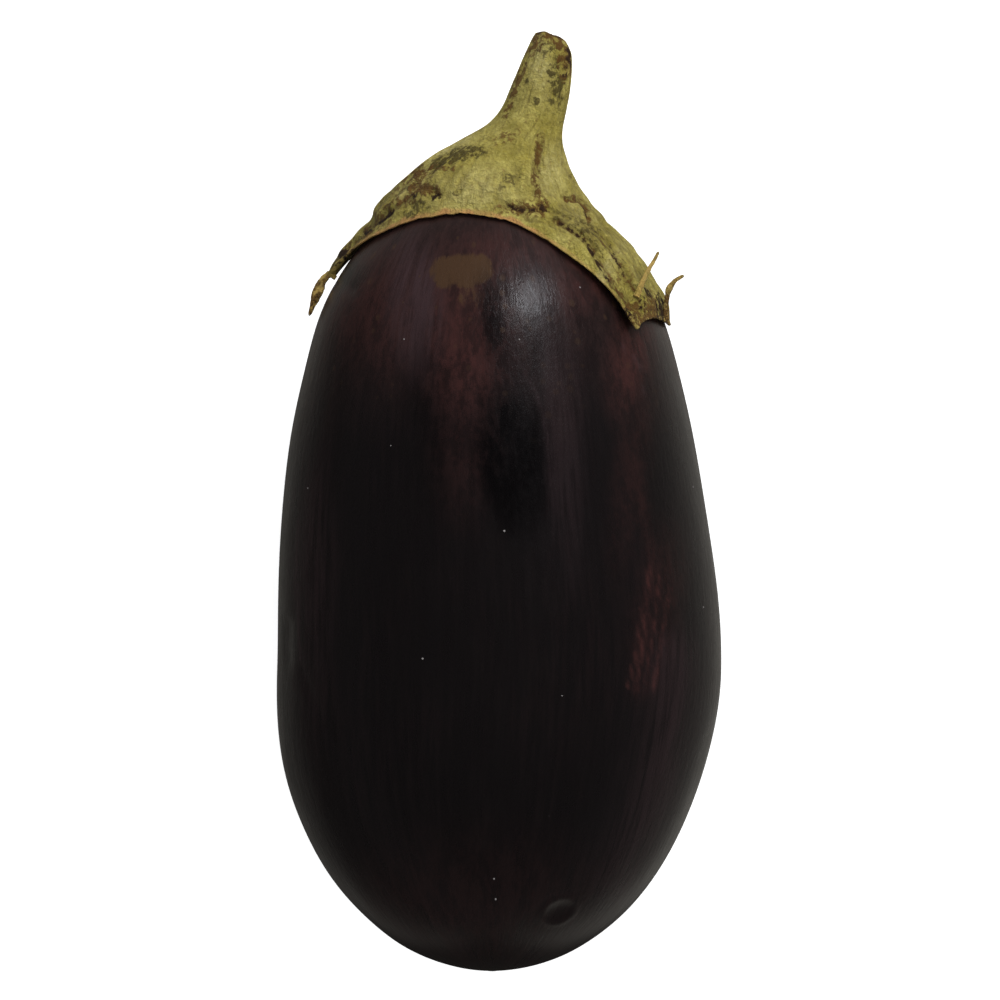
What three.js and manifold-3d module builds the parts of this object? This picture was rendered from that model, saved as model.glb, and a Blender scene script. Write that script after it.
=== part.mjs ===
// An eggplant as picked, lying on its side: the dark fruit, and the olive green calyx that has dried onto its
// shoulder, with the five lobes of its rim, their withered tips and the stem that it was cut from.
// Millimetres, +Z up. The origin is the middle of the small flat spot that the fruit rests on, and +Y points
// to the stem end. Heights along the fruit are measured from its widest ring, towards the stem.
import * as THREE from "three";
import { mergeVertices } from "three/addons/utils/BufferGeometryUtils.js";
import Module from "manifold-3d";

// The fruit
const fruitHalfWidth = 47.5;
const fruitDepthShare = 0.97; // its depth against its width
const stemSide = 105; // from the widest ring to the end under the calyx
const blossomSide = 64.6; // from the widest ring to the round bottom end
const stemPower = 2.3; // how square each half of the outline is, where 2 is an ellipse
const blossomPower = 2.02;
const shoulderSwell = 0.03; // the shoulder is fuller by this share of its radius
const waistSlack = 0.01; // and the middle slimmer
const sideSwell = 1.5; // the belly swells to the right by this
const shoulderLean = 1; // and the shoulder leans to the left by this
const lobeDepth = 0.006; // four shallow lobes along the fruit, as a share of its radius
const lobeAngle = THREE.MathUtils.degToRad(12); // round to the right, where the top lobe is highest
const scar = { angle: THREE.MathUtils.degToRad(28), height: -50.2, radius: 3.4, depth: 0.6 }; // of the blossom

// How it lies
const stemDrop = THREE.MathUtils.degToRad(4.65); // the axis dips towards the stem
const flatDepth = 1.3; // how far the skin is pressed flat under the weight
const flatMiddle = 23; // height of the middle of the flat spot, under the centre of mass

// The calyx
const calyxGap = 0.32; // between the fruit's skin and the calyx
const rimThickness = 0.65;
const leafThickness = 1.5; // a few millimetres in from the rim
const thickeningLength = 5;
const puckerHeight = 0.35;

// The stem and its flare: height, radius, and how far the centre leans right and up
const stemStations = [
  [84, 27.2, -0.7, 0],
  [92, 26.2, -0.8, 0],
  [96.5, 24.9, -1.2, 0],
  [99.9, 22.6, -1.8, 0],
  [103.4, 19.6, -1.3, 0],
  [106.8, 16.7, -0.3, 0.1],
  [110.2, 13.7, 1.5, 0.2],
  [113.7, 10.2, 4.5, 0.4],
  [117.1, 7.6, 7.4, 0.6],
  [120.5, 6.6, 9.1, 0.8],
  [125.7, 5.9, 10.6, 1.1],
  [130.8, 4.9, 11.8, 1.4],
  [134.2, 4.0, 12.3, 1.6],
  [136.6, 3.2, 12.4, 1.7],
];
const cutHeight = 136.6;
const cutSlope = 0.3; // the cut slants down to the right
const slantLength = 5; // and the slant has faded this far below it
const lobedHeight = 99; // the rim's lobes and bays are all below this

// The rim: angle round the fruit from straight up towards +X, height, and how far it stands off the skin
const rimStations = [
  [-92, 84.2, 1.9],
  [-80, 89.6, 0.5],
  [-57, 93.6, 0.1],
  [-38, 96.1, 0],
  [-15, 97.1, 0],
  [8, 95.6, 0],
  [22, 92.4, 0.1],
  [34, 87.3, 0.4],
  [43, 82.0, 0.8],
  [49, 76.6, 1.0],
  [53, 73.0, 1.0],
  [57.5, 71.6, 0.8],
  [64, 74.2, 0.5],
  [71, 75.2, 0.2],
  [78, 74.4, 0],
  [85, 73.9, 0],
  [93, 76.2, 0],
  [102, 80.6, 0.1],
  [114, 86.2, 0.1],
  [127, 91.2, 0],
  [141, 88.8, 0],
  [150, 81.6, 0.4],
  [157, 75.3, 0.9],
  [164, 80.8, 0.5],
  [173, 88.4, 0],
  [186, 91.6, 0],
  [198, 87.2, 0.1],
  [206, 79.8, 0.5],
  [212, 76.2, 0.8],
  [219, 80.9, 0.6],
  [229, 88.2, 0.1],
  [242, 91.4, 0.2],
  [256, 88.9, 0.5],
];

// A rib runs down each lobe between two grooves: its angle at the rim and where it leaves the stem, and its height
const ribs = [
  { tip: -92, root: -70, high: 0.3 },
  { tip: 57.5, root: 20, high: 1 },
  { tip: 87, root: 88, high: 0.2 },
  { tip: 157, root: 152, high: 0.8 },
  { tip: 212, root: 218, high: 0.8 },
];

// The withered tips: points from where each leaves the rim, as right, height and up, and the widths of its ends
const witheredTips = [
  {
    points: [[-35.3, 86.2, -0.6], [-35.9, 84.3, -0.4], [-37.4, 81.4, 0.3], [-38.2, 79, 0.8], [-39.4, 75.8, 1.2]],
    widths: [2.4, 0.7],
  },
  {
    points: [[30.9, 80.4, 16.7], [32.1, 83.2, 16.2], [33.1, 85.2, 15.8], [34.3, 87.3, 15], [35.2, 88.8, 14.4]],
    widths: [1.3, 0.6],
  },
  {
    points: [[36.9, 74.8, 7.8], [37, 77.6, 8.7], [37.5, 81.1, 9.4], [38.8, 83.1, 9.7], [40.8, 84.3, 9.6]],
    widths: [1.2, 0.7],
  },
];

const columnsPerStation = 3;
const fruitColumns = 72;
const fruitRows = 44;
const equatorShare = 0.6; // share of the fruit's rows on the stem side of the widest ring
const cutRows = 2;
const stemRows = 16;
const lobeRows = 10;
const liningRows = 9;

const radians = THREE.MathUtils.degToRad;
const smoothStep = THREE.MathUtils.smoothstep;

const wasm = await Module();
wasm.setup();

// The value in one column of a list of stations, on a curve that passes through each of them with no overshoot
function along(stations, column, at) {
  const last = stations.length - 2;
  let i = 0;
  while (i < last && at > stations[i + 1][0]) i += 1;
  const rise = (k) => {
    const low = stations[Math.max(k, 0)];
    const high = stations[Math.min(k + 1, last + 1)];
    return k < 0 || k > last ? 0 : (high[column] - low[column]) / (high[0] - low[0]);
  };
  const slope = (before, after) => (before * after <= 0 ? 0 : (2 * before * after) / (before + after));
  const [x0, x1] = [stations[i][0], stations[i + 1][0]];
  const t = THREE.MathUtils.clamp((at - x0) / (x1 - x0), 0, 1);
  const start = slope(rise(i - 1), rise(i)) * (x1 - x0);
  const end = slope(rise(i), rise(i + 1)) * (x1 - x0);
  const [y0, y1] = [stations[i][column], stations[i + 1][column]];
  return (
    y0 * (1 + 2 * t) * (1 - t) ** 2 + start * t * (1 - t) ** 2 + y1 * t * t * (3 - 2 * t) + end * t * t * (t - 1)
  );
}

// The rim goes once round, so its first and last stations repeat past its ends
const roundRim = [
  ...rimStations.slice(-2).map(([angle, ...rest]) => [angle - 360, ...rest]),
  ...rimStations,
  ...rimStations.slice(0, 2).map(([angle, ...rest]) => [angle + 360, ...rest]),
];
const rimHeight = (angle) => along(roundRim, 1, angle);
const rimLift = (angle) => along(roundRim, 2, angle);

// One where at is in the middle, falling off smoothly to both sides
function bell(at, middle, spread) {
  return Math.exp(-(((at - middle) / spread) ** 2));
}

// How full the outline is at a height, against a plain rounded end
function fullness(height) {
  return 1 + shoulderSwell * bell(height, 80, 12) - waistSlack * bell(height, 38, 20);
}

// Half the fruit's width at a height
function fruitRadius(height) {
  const [reach, power] = height > 0 ? [stemSide, stemPower] : [blossomSide, blossomPower];
  const share = Math.min(Math.abs(height) / reach, 1);
  return fruitHalfWidth * (1 - share ** power) ** (1 / power) * fullness(height);
}

// How far the fruit's middle lies to the right of its axis at a height
function fruitSide(height) {
  const lean = Math.max(height / stemSide, 0) ** 3;
  return sideSwell * bell(height, 4, height > 4 ? 26 : 22) - shoulderLean * lean;
}

// The radius round the fruit, as a share of its mean
function lobing(angle) {
  return 1 + lobeDepth * Math.cos(4 * (angle - lobeAngle));
}

// A point at a height, an angle and a distance from the fruit's middle
function aroundFruit(height, angle, radius) {
  return new THREE.Vector3(
    fruitSide(height) + radius * Math.sin(angle),
    height,
    fruitDepthShare * radius * Math.cos(angle),
  );
}

// A point of the fruit's skin, by the share of the way from its stem end to its blossom end
function fruitSkin(angle, share) {
  const turn =
    share < equatorShare
      ? (Math.PI / 2) * (share / equatorShare)
      : (Math.PI / 2) * (1 + (share - equatorShare) / (1 - equatorShare));
  const [reach, power] = turn < Math.PI / 2 ? [stemSide, stemPower] : [-blossomSide, blossomPower];
  const height = reach * Math.abs(Math.cos(turn)) ** (2 / power);
  const radius = fruitHalfWidth * Math.abs(Math.sin(turn)) ** (2 / power);
  return aroundFruit(height, angle, radius * fullness(height) * lobing(angle));
}

// A sphere's net of faces drawn onto another closed surface: place gives a point for an angle round the axis,
// in radians, and a row, and the first and last rows are each one point
function wrapSphere(angles, rows, place) {
  const columns = angles.length;
  const geometry = new THREE.SphereGeometry(1, columns, rows);
  const position = geometry.getAttribute("position");
  for (let i = 0; i < position.count; i += 1) {
    const column = (i % (columns + 1)) % columns;
    const row = Math.floor(i / (columns + 1));
    const { x, y, z } = place(angles[column], row);
    position.setXYZ(i, x, y, z);
  }
  geometry.deleteAttribute("normal");
  geometry.deleteAttribute("uv");
  return mergeVertices(geometry, 1e-4);
}

function solidOf(geometry) {
  return new wasm.Manifold(
    new wasm.Mesh({
      numProp: 3,
      vertProperties: new Float32Array(geometry.getAttribute("position").array),
      triVerts: new Uint32Array(geometry.index.array),
    }),
  );
}

function geometryOf(solid) {
  const { vertProperties, triVerts } = solid.getMesh();
  const geometry = new THREE.BufferGeometry();
  geometry.setAttribute("position", new THREE.BufferAttribute(vertProperties, 3));
  geometry.setIndex(new THREE.BufferAttribute(triVerts, 1));
  geometry.computeVertexNormals();
  return geometry;
}

// The eggplant's own axis in the part's frame: it dips towards the stem, and the flat spot's middle is the origin
const lying = new THREE.Group();
const undersideRadius = fruitDepthShare * fruitRadius(flatMiddle) * lobing(Math.PI);
lying.rotation.x = -stemDrop;
const flatSpot = new THREE.Vector3(0, flatMiddle, -undersideRadius).applyEuler(lying.rotation);
lying.position.set(0, -flatSpot.y, -flatSpot.z - flatDepth);
lying.updateMatrix();

// A ready-made shape as a solid
function solidShape(geometry) {
  geometry.deleteAttribute("normal");
  geometry.deleteAttribute("uv");
  return solidOf(mergeVertices(geometry, 1e-4));
}

// The shallow dish of the blossom scar, as a ball that the skin is cut by
function makeScarBall() {
  const { angle, height, radius, depth } = scar;
  const ball = (radius ** 2 + depth ** 2) / (2 * depth);
  const skin = fruitRadius(height) * lobing(angle);
  const slope = (fruitRadius(height + 0.1) - fruitRadius(height - 0.1)) / 0.2;
  const outward = new THREE.Vector3(Math.sin(angle), -slope, Math.cos(angle)).normalize();
  const middle = aroundFruit(height, angle, skin).addScaledVector(outward, ball - depth);
  return solidShape(new THREE.SphereGeometry(ball, 48, 32).translate(middle.x, middle.y, middle.z));
}

// The fruit, pressed flat where it lies
function makeFruit() {
  const angles = Array.from({ length: fruitColumns }, (_, i) => radians((i * 360) / fruitColumns - 90));
  const whole = solidOf(wrapSphere(angles, fruitRows, (angle, row) => fruitSkin(angle, row / fruitRows)));
  const table = new THREE.BoxGeometry(200, 300, 100).translate(0, 0, -50).applyMatrix4(lying.matrix.clone().invert());
  return geometryOf(whole.subtract(solidShape(table)).subtract(makeScarBall()));
}

// How far the ribs and puckers raise the calyx
function calyxRelief(angle, height) {
  const up = smoothStep(height, 83, 116);
  let relief = 0;
  for (const { tip, root, high } of ribs) {
    const middle = radians(tip + (root - tip) * up);
    const away = Math.atan2(Math.sin(angle - middle), Math.cos(angle - middle)) * fruitRadius(Math.min(height, 96));
    const share = (away / THREE.MathUtils.clamp((height - 70) / 4, 1.2, 3.8)) ** 2;
    relief += high * (1 - 2 * share) * Math.exp(-share) * (1 - smoothStep(height, 104, 120));
  }
  const puckered = smoothStep(height, 76, 90) * (1 - smoothStep(height, 98, 108));
  const puckers = Math.sin(11 * angle + 0.35 * height) * Math.sin(0.9 * height + 3 * angle);
  return relief + puckerHeight * puckers * puckered;
}

// A point of the calyx's outside, or of the stem's
function calyxOutside(angle, height) {
  const rim = rimHeight(THREE.MathUtils.radToDeg(angle));
  const inland = smoothStep(height - rim, 0, thickeningLength);
  const lift = rimLift(THREE.MathUtils.radToDeg(angle)) * Math.exp(-(height - rim) / 4.5);
  const skin = height < stemSide ? fruitRadius(height) * lobing(angle) : 0;
  const slant = Math.max(1 - (skin / fruitHalfWidth) ** 2, 0.3) ** 0.5; // thickness is measured square to the skin
  const leaf = skin + calyxGap + lift + THREE.MathUtils.lerp(rimThickness, leafThickness, inland) * (1 + 0.15 * slant);
  const flare = along(stemStations, 1, height);
  const blend = smoothStep(flare - leaf, -1.2, 1.2);
  const inFlare = smoothStep(height - rim, 0.5, 7);
  const radius = THREE.MathUtils.lerp(leaf, Math.max(flare, leaf - 0.2), blend * inFlare);
  const stemward = smoothStep(height, 92, 100);
  const side = THREE.MathUtils.lerp(fruitSide(height), along(stemStations, 2, height), stemward);
  const ridged = 1 + 0.035 * Math.cos(5 * angle + 0.6) * smoothStep(height, 108, 118);
  const full = (radius + calyxRelief(angle, height) * smoothStep(height - rim, 0, 4)) * ridged;
  const depthShare = THREE.MathUtils.lerp(fruitDepthShare, 1, smoothStep(height, 100, 112));
  return new THREE.Vector3(
    side + full * Math.sin(angle),
    height,
    along(stemStations, 3, height) + depthShare * full * Math.cos(angle),
  );
}

// A point of the calyx's lining, which follows the fruit's skin at the gap
function calyxLining(angle, height) {
  if (height >= stemSide) return new THREE.Vector3(fruitSide(stemSide), stemSide + calyxGap, 0);
  const degrees = THREE.MathUtils.radToDeg(angle);
  const rim = rimHeight(degrees);
  const lift = rimLift(degrees) * Math.exp(-(height - rim) / 4.5);
  const skin = fruitRadius(height) * lobing(angle);
  return aroundFruit(height, angle, skin).add(liningOffset(angle, height).multiplyScalar(calyxGap + lift));
}

// The direction square to the fruit's skin
function liningOffset(angle, height) {
  const step = 0.05;
  const low = Math.min(height, stemSide - 2 * step);
  const slope = (fruitRadius(low - step) - fruitRadius(low + step)) / (2 * step);
  return new THREE.Vector3(Math.sin(angle), slope, Math.cos(angle)).normalize();
}

// The calyx and stem as one skin: from the middle of the cut, down the stem and the lobes to the rim, and back
// up the lining to its middle
function calyxSkin(angle, row) {
  const cutSpan = (from, share) => {
    const edge = calyxOutside(angle, from);
    const middle = new THREE.Vector3(along(stemStations, 2, from), from, along(stemStations, 3, from));
    return middle.lerp(edge, share);
  };
  const rim = rimHeight(THREE.MathUtils.radToDeg(angle));
  let point;
  if (row < cutRows) {
    point = cutSpan(cutHeight, (0.86 * row) / cutRows);
    point.y -= 0.5 * (1 - row / cutRows);
  } else if (row <= cutRows + stemRows) {
    point = calyxOutside(angle, THREE.MathUtils.lerp(cutHeight - 0.7, lobedHeight, (row - cutRows) / stemRows));
  } else if (row <= cutRows + stemRows + lobeRows) {
    point = calyxOutside(angle, THREE.MathUtils.lerp(lobedHeight, rim, (row - cutRows - stemRows) / lobeRows));
  } else {
    const inward = (row - cutRows - stemRows - lobeRows - 1) / liningRows;
    const turn = Math.acos((rim / stemSide) ** (stemPower / 2)) * (1 - inward);
    point = calyxLining(angle, stemSide * Math.cos(turn) ** (2 / stemPower));
  }
  const slanted = smoothStep(point.y, cutHeight - slantLength, cutHeight);
  point.y -= cutSlope * (point.x - along(stemStations, 2, point.y)) * slanted;
  return point;
}

// A withered tip: a thin tapering blade along its points
function witheredTip({ points, widths }) {
  const path = new THREE.CatmullRomCurve3(points.map(([right, height, up]) => new THREE.Vector3(right, height, up)));
  const steps = 12;
  const place = (angle, row) => {
    const share = THREE.MathUtils.clamp((row - 1) / (steps - 1), 0, 1);
    const middle = path.getPointAt(share);
    if (row === 0 || row === steps + 1) return middle;
    const ahead = path.getTangentAt(share);
    const across = new THREE.Vector3(0, 0, 1).cross(ahead).normalize();
    const width = THREE.MathUtils.lerp(widths[0], widths[1], share);
    const thickness = Math.max(0.55 * width, 0.7);
    return middle
      .addScaledVector(across, (width / 2) * Math.cos(angle))
      .addScaledVector(ahead.cross(across), (thickness / 2) * Math.sin(angle));
  };
  const around = Array.from({ length: 8 }, (_, i) => -(i * Math.PI) / 4);
  return wrapSphere(around, steps + 1, place);
}

function makeCalyx() {
  const rimAngles = [...rimStations.map(([angle]) => angle), rimStations[0][0] + 360];
  const angles = rimAngles.slice(0, -1).flatMap((from, i) =>
    Array.from({ length: columnsPerStation }, (_, k) =>
      radians(from + ((rimAngles[i + 1] - from) * k) / columnsPerStation),
    ),
  );
  const rows = cutRows + stemRows + lobeRows + liningRows + 1;
  const body = solidOf(wrapSphere(angles, rows, calyxSkin));
  return geometryOf(witheredTips.reduce((made, tip) => made.add(solidOf(witheredTip(tip))), body));
}

function addMesh(name, geometry, colour, roughness) {
  const mesh = new THREE.Mesh(geometry, new THREE.MeshStandardMaterial({ color: colour, roughness, metalness: 0 }));
  mesh.name = name;
  lying.add(mesh);
}

addMesh("fruit", makeFruit(), 0x1c1316, 0.3);
addMesh("calyx_and_stem", makeCalyx(), 0x8f8a4e, 0.8);

const eggplant = new THREE.Group();
eggplant.add(lying);

export default eggplant;
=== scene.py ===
# An eggplant lying on its side: dark satin skin, a dried olive calyx with withered tips, and a bent cut stem.
import math

import bpy
import numpy as np
from mathutils import Matrix, Vector


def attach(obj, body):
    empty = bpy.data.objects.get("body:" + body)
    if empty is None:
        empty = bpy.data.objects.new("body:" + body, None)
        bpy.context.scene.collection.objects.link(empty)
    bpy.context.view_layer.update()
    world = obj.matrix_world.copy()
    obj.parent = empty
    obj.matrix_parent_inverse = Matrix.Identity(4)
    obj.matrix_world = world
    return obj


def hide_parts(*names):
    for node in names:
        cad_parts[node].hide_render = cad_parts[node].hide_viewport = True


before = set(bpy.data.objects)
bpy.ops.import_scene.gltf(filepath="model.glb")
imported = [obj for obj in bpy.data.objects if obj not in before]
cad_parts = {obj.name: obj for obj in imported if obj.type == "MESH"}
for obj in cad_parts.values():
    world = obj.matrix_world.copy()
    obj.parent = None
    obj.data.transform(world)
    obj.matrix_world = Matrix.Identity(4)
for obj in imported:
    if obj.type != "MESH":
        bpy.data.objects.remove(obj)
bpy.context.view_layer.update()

print("frame loaded")

# Shapes are worked out in millimetres on the fruit's own axis, as right, height towards the stem, and up,
# where heights are measured from the widest ring. toFrame lays them down in the part's frame, in metres.
lying = {"stemDrop": 4.65, "flatDepth": 1.3, "flatMiddle": 23.0}
grainRadius = 40.0  # of the cylinder that patterns are laid out on

fruit = {
    "halfWidth": 47.42, "depthShare": 0.97,
    "stemSide": 105.0, "blossomSide": 64.6,  # from the widest ring to each end
    "stemPower": 2.3, "blossomPower": 2.02,  # how square each half of the outline is
    "shoulderSwell": (0.03, 80, 12), "waistSlack": (0.01, 38, 20),  # share of the radius, height, spread
    "sideSwell": 1.5, "sideMiddle": 4, "stemwardSpread": 26, "blossomwardSpread": 22, "shoulderLean": 1.0,
    "lobeCount": 4, "lobeDepth": 0.006, "lobeAngle": 12.0,
    "scarAngle": 28.0, "scarHeight": -50.2, "scarRadius": 3.4, "scarDepth": 0.6,
    "scarRing": (0.12, 1.15, 0.2), "scarEdge": (0.55, 1.25),  # height, then places as shares of the scar's radius
    "columns": 320, "rows": 270, "equatorShare": 0.6,
    "waver": 0.22, "waverSink": 0.8, "dentDepth": 0.45, "stemFade": (0.004, 0.03), "blossomFade": (0.99, 0.999),
    "markFade": (-2, 5), "paleShoulder": (46, 88), "paleRagged": 9,
}

calyx = {
    "gap": 0.32, "rimThickness": 0.65, "leafThickness": 1.5, "thickeningLength": 5.0, "slantThickening": 0.15,
    "liftFade": 4.5, "closedAngle": -92, "closedSpread": 16, "closedShare": 0.85,
    "flareSoftness": 1.2, "flareStart": (0.5, 7), "leanStart": (92, 100), "roundStart": (100, 112),
    "reliefStart": 4, "stemRidge": 0.035, "stemRidgeCount": 5, "stemRidgeStart": (108, 118),
    "ribTurn": (83, 116), "ribEnd": (104, 120), "ribWidest": 96, "ribWidth": (1.2, 3.8),
    "puckerHeight": 0.35, "puckerStart": (76, 90), "puckerEnd": (98, 108),
    "cutHeight": 136.2, "cutSlope": 0.3, "slantLength": 5.0, "spikeHeight": 0.6, "spikeSide": 10.6, "spikeWidth": 0.8,
    "cutInset": 0.93, "cutSink": 0.25, "cutDrop": 0.7,
    "columnsPerStation": 13, "cutRows": 5, "stemRows": 84, "lobeRows": 64, "liningRows": 14, "lobedHeight": 99.0,
    "rimWaver": 0.2, "rimDrop": 0.22, "marginWidth": (0.5, 1.4), "marginRagged": 0.4,
    "marginFade": (87, 94), "markFade": (-0.05, 0.3),
    "fibreHeight": 0.07, "wrinkleHeight": 0.34, "creaseDepth": 0.36, "creaseWidth": 0.14, "creaseBend": 1.2,
    "creaseGaps": 0.35, "creaseStart": (1, 6), "creaseEnd": (104, 114), "grooveDepth": 1.0, "cutRoughness": 0.25,
    "fineRaise": 0.32, "fineDeepest": -0.45, "fineStart": (0.3, 4), "fineEnd": (131, 135.5), "slimStart": (108, 118),
}

# Noises by name: size in mm, scale across and along the fruit, seed, and octaves
noises = {
    "waver": (17, 1, 0.45, 5, 2), "shoulder": (7, 1, 0.25, 11, 2), "rim": (3.2, 1, 1, 21, 3),
    "fibres": (1.5, 1, 0.1, 31, 2), "wrinkles": (3.2, 0.9, 0.36, 41, 3), "bend": (5, 1, 1, 43, 2),
    "creases": (3.6, 1, 0.2, 45, 1), "gaps": (7, 1, 1, 47, 2), "cut": (1.3, 1, 1, 51, 2), "margin": (2.2, 1, 1, 61, 2),
}


def smoothStep(at, low, high):
    # 0 below low, 1 above high, and t*t*(3 - 2t) between, where t is the share of the way
    t = np.clip((np.asarray(at, float) - low) / (high - low), 0, 1)
    return t * t * (3 - 2 * t)


def bell(at, middle, spread):
    # e to the power of minus (distance / spread) squared
    return np.exp(-(((at - middle) / spread) ** 2))


def unit(vectors):
    # each vector at length 1
    return vectors / np.maximum(np.linalg.norm(vectors, axis=-1, keepdims=True), 1e-12)


def blend(first, second, share):
    # first + (second - first) * share
    return first + (second - first) * share


def along(stations, column, at):
    # a curve through the stations: cubics that meet with the harmonic mean of the slopes on both sides
    x, y = stations[:, 0], stations[:, column]
    rise = np.concatenate([[0], np.diff(y) / np.diff(x), [0]])
    before, after = rise[:-1], rise[1:]
    total = np.where(before + after == 0, 1, before + after)
    slope = np.where(before * after > 0, 2 * before * after / total, 0)
    i = np.clip(np.searchsorted(x, at, side="right") - 1, 0, len(x) - 2)
    span = x[i + 1] - x[i]
    t = np.clip((at - x[i]) / span, 0, 1)
    rising = y[i] * (1 + 2 * t) * (1 - t) ** 2 + slope[i] * span * t * (1 - t) ** 2
    return rising + y[i + 1] * t * t * (3 - 2 * t) + slope[i + 1] * span * t * t * (t - 1)


def randomAt(x, y, z, seed):
    # a fixed random number from -1 to 1 for each whole-numbered point, by mixing its bits
    mixed = (x * 73856093) ^ (y * 19349663) ^ (z * 83492791) ^ (seed * 15485863)
    mixed = (mixed ^ (mixed >> 13)) * 1274126177 & 0xFFFFFFFF
    mixed = (mixed ^ (mixed >> 15)) * 668265263 & 0xFFFFFFFF
    return ((mixed >> 8) & 0xFFFF) / 32767.5 - 1


def noise(points, size, seed, octaves=1):
    # smooth random heights: the values at the corners of cubes of this size, blended; each octave is half as big
    total, share = 0, 1
    for octave in range(octaves):
        scaled = np.asarray(points) * (2**octave / size) + 37.2
        whole = np.floor(scaled).astype(np.int64)
        t = scaled - whole
        t = t * t * (3 - 2 * t)
        value = 0
        for corner in range(8):
            step = np.array([corner & 1, corner >> 1 & 1, corner >> 2 & 1])
            weight = np.prod(np.where(step == 1, t, 1 - t), axis=-1)
            x, y, z = np.moveaxis(whole + step, -1, 0)
            value = value + weight * randomAt(x, y, z, seed + octave)
        total = total + value * share
        share *= 0.5
    return total


def rough(points, name):
    # the noise of this name, on points that are scaled across and along the fruit
    size, across, lengthwise, seed, octaves = noises[name]
    return noise(points * np.array([across, lengthwise, across]), size, seed, octaves)


def pointsOf(*parts):
    # the coordinates side by side, at the size of the largest grid
    return np.stack(np.broadcast_arrays(*parts), axis=-1)


def grainAt(angle, height):
    # where a point lies on the patterns' cylinder: radius * sin(angle), height, radius * cos(angle)
    return pointsOf(grainRadius * np.sin(angle), height, grainRadius * np.cos(angle))


def toFrame(points):
    # turned about X by minus the drop, then moved so that the middle of the flat spot is the origin, then to metres
    drop = math.radians(lying["stemDrop"])
    turn = np.array([[1, 0, 0], [0, math.cos(drop), math.sin(drop)], [0, -math.sin(drop), math.cos(drop)]])
    below = fruit["depthShare"] * float(fruitRadius(lying["flatMiddle"])) * float(lobing(math.pi))
    spot = turn @ np.array([0, lying["flatMiddle"], -below])
    return (np.asarray(points) @ turn.T - [0, spot[1], spot[2] + lying["flatDepth"]]) * 0.001


def fullness(height):
    # 1 + swell at the shoulder - slack at the waist, each a bell round its own height
    swell, slack = fruit["shoulderSwell"], fruit["waistSlack"]
    return 1 + swell[0] * bell(height, *swell[1:]) - slack[0] * bell(height, *slack[1:])


def fruitRadius(height):
    # half width * (1 - (height / reach) ** power) ** (1 / power) * fullness
    stemward = np.asarray(height) > 0
    reach = np.where(stemward, fruit["stemSide"], fruit["blossomSide"])
    power = np.where(stemward, fruit["stemPower"], fruit["blossomPower"])
    share = np.minimum(np.abs(height) / reach, 1)
    return fruit["halfWidth"] * (1 - share**power) ** (1 / power) * fullness(height)


def fruitSide(height):
    # how far the middle lies to the right: a swell at the belly, less a lean of the shoulder by height cubed
    middle = fruit["sideMiddle"]
    spread = np.where(np.asarray(height) > middle, fruit["stemwardSpread"], fruit["blossomwardSpread"])
    lean = np.maximum(np.asarray(height) / fruit["stemSide"], 0) ** 3
    return fruit["sideSwell"] * bell(height, middle, spread) - fruit["shoulderLean"] * lean


def lobing(angle):
    # 1 + depth * cos(count * (angle - lobe angle))
    return 1 + fruit["lobeDepth"] * np.cos(fruit["lobeCount"] * (angle - math.radians(fruit["lobeAngle"])))


def aroundFruit(height, angle, radius):
    # right = side + radius * sin(angle), up = depth share * radius * cos(angle)
    right = fruitSide(height) + radius * np.sin(angle)
    return pointsOf(right, height, fruit["depthShare"] * radius * np.cos(angle))


def outwardOf(grid):
    # the cross product of the differences down the rows and round the columns, at length 1
    down = np.gradient(grid, axis=0)
    around = np.roll(grid, -1, axis=1) - np.roll(grid, 1, axis=1)
    return unit(np.cross(down, around))


def spots(right, height, shapes):
    # 1 in each soft ellipse: middle right and height, half width and height, turn in degrees, softness, strength
    mask = np.zeros_like(right)
    for x, y, wide, tall, turn, soft, strength in shapes:
        c, s = math.cos(math.radians(turn)), math.sin(math.radians(turn))
        u, v = (right - x) * c + (height - y) * s, (height - y) * c - (right - x) * s
        away = np.sqrt((u / wide) ** 2 + (v / tall) ** 2)
        mask = np.maximum(mask, strength * (1 - smoothStep(away, 1 - soft, 1 + soft)))
    return mask


def strokes(right, height, lines):
    # 1 near each line of points: strength * e to the power of minus (distance / half width) squared
    mask = np.zeros_like(right)
    for strength, width, *points in lines:
        for (x0, y0), (x1, y1) in zip(points, points[1:]):
            length = (x1 - x0) ** 2 + (y1 - y0) ** 2
            t = np.clip(((right - x0) * (x1 - x0) + (height - y0) * (y1 - y0)) / length, 0, 1)
            away = np.hypot(right - x0 - t * (x1 - x0), height - y0 - t * (y1 - y0))
            mask = np.maximum(mask, strength * np.exp(-((away / width) ** 2)))
    return mask


def marksOn(right, height, shown, marks, lines):
    # a mask for each name: the larger of its spots and its strokes, kept to where the surface faces up
    masks = {label: spots(right, height, shapes) * shown for label, shapes in marks.items()}
    for label, given in lines.items():
        masks[label] = np.maximum(masks.get(label, 0), strokes(right, height, given) * shown)
    return masks


def newObject(name, data):
    made = bpy.data.objects.new(name, data)
    bpy.context.scene.collection.objects.link(made)
    return made


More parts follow.
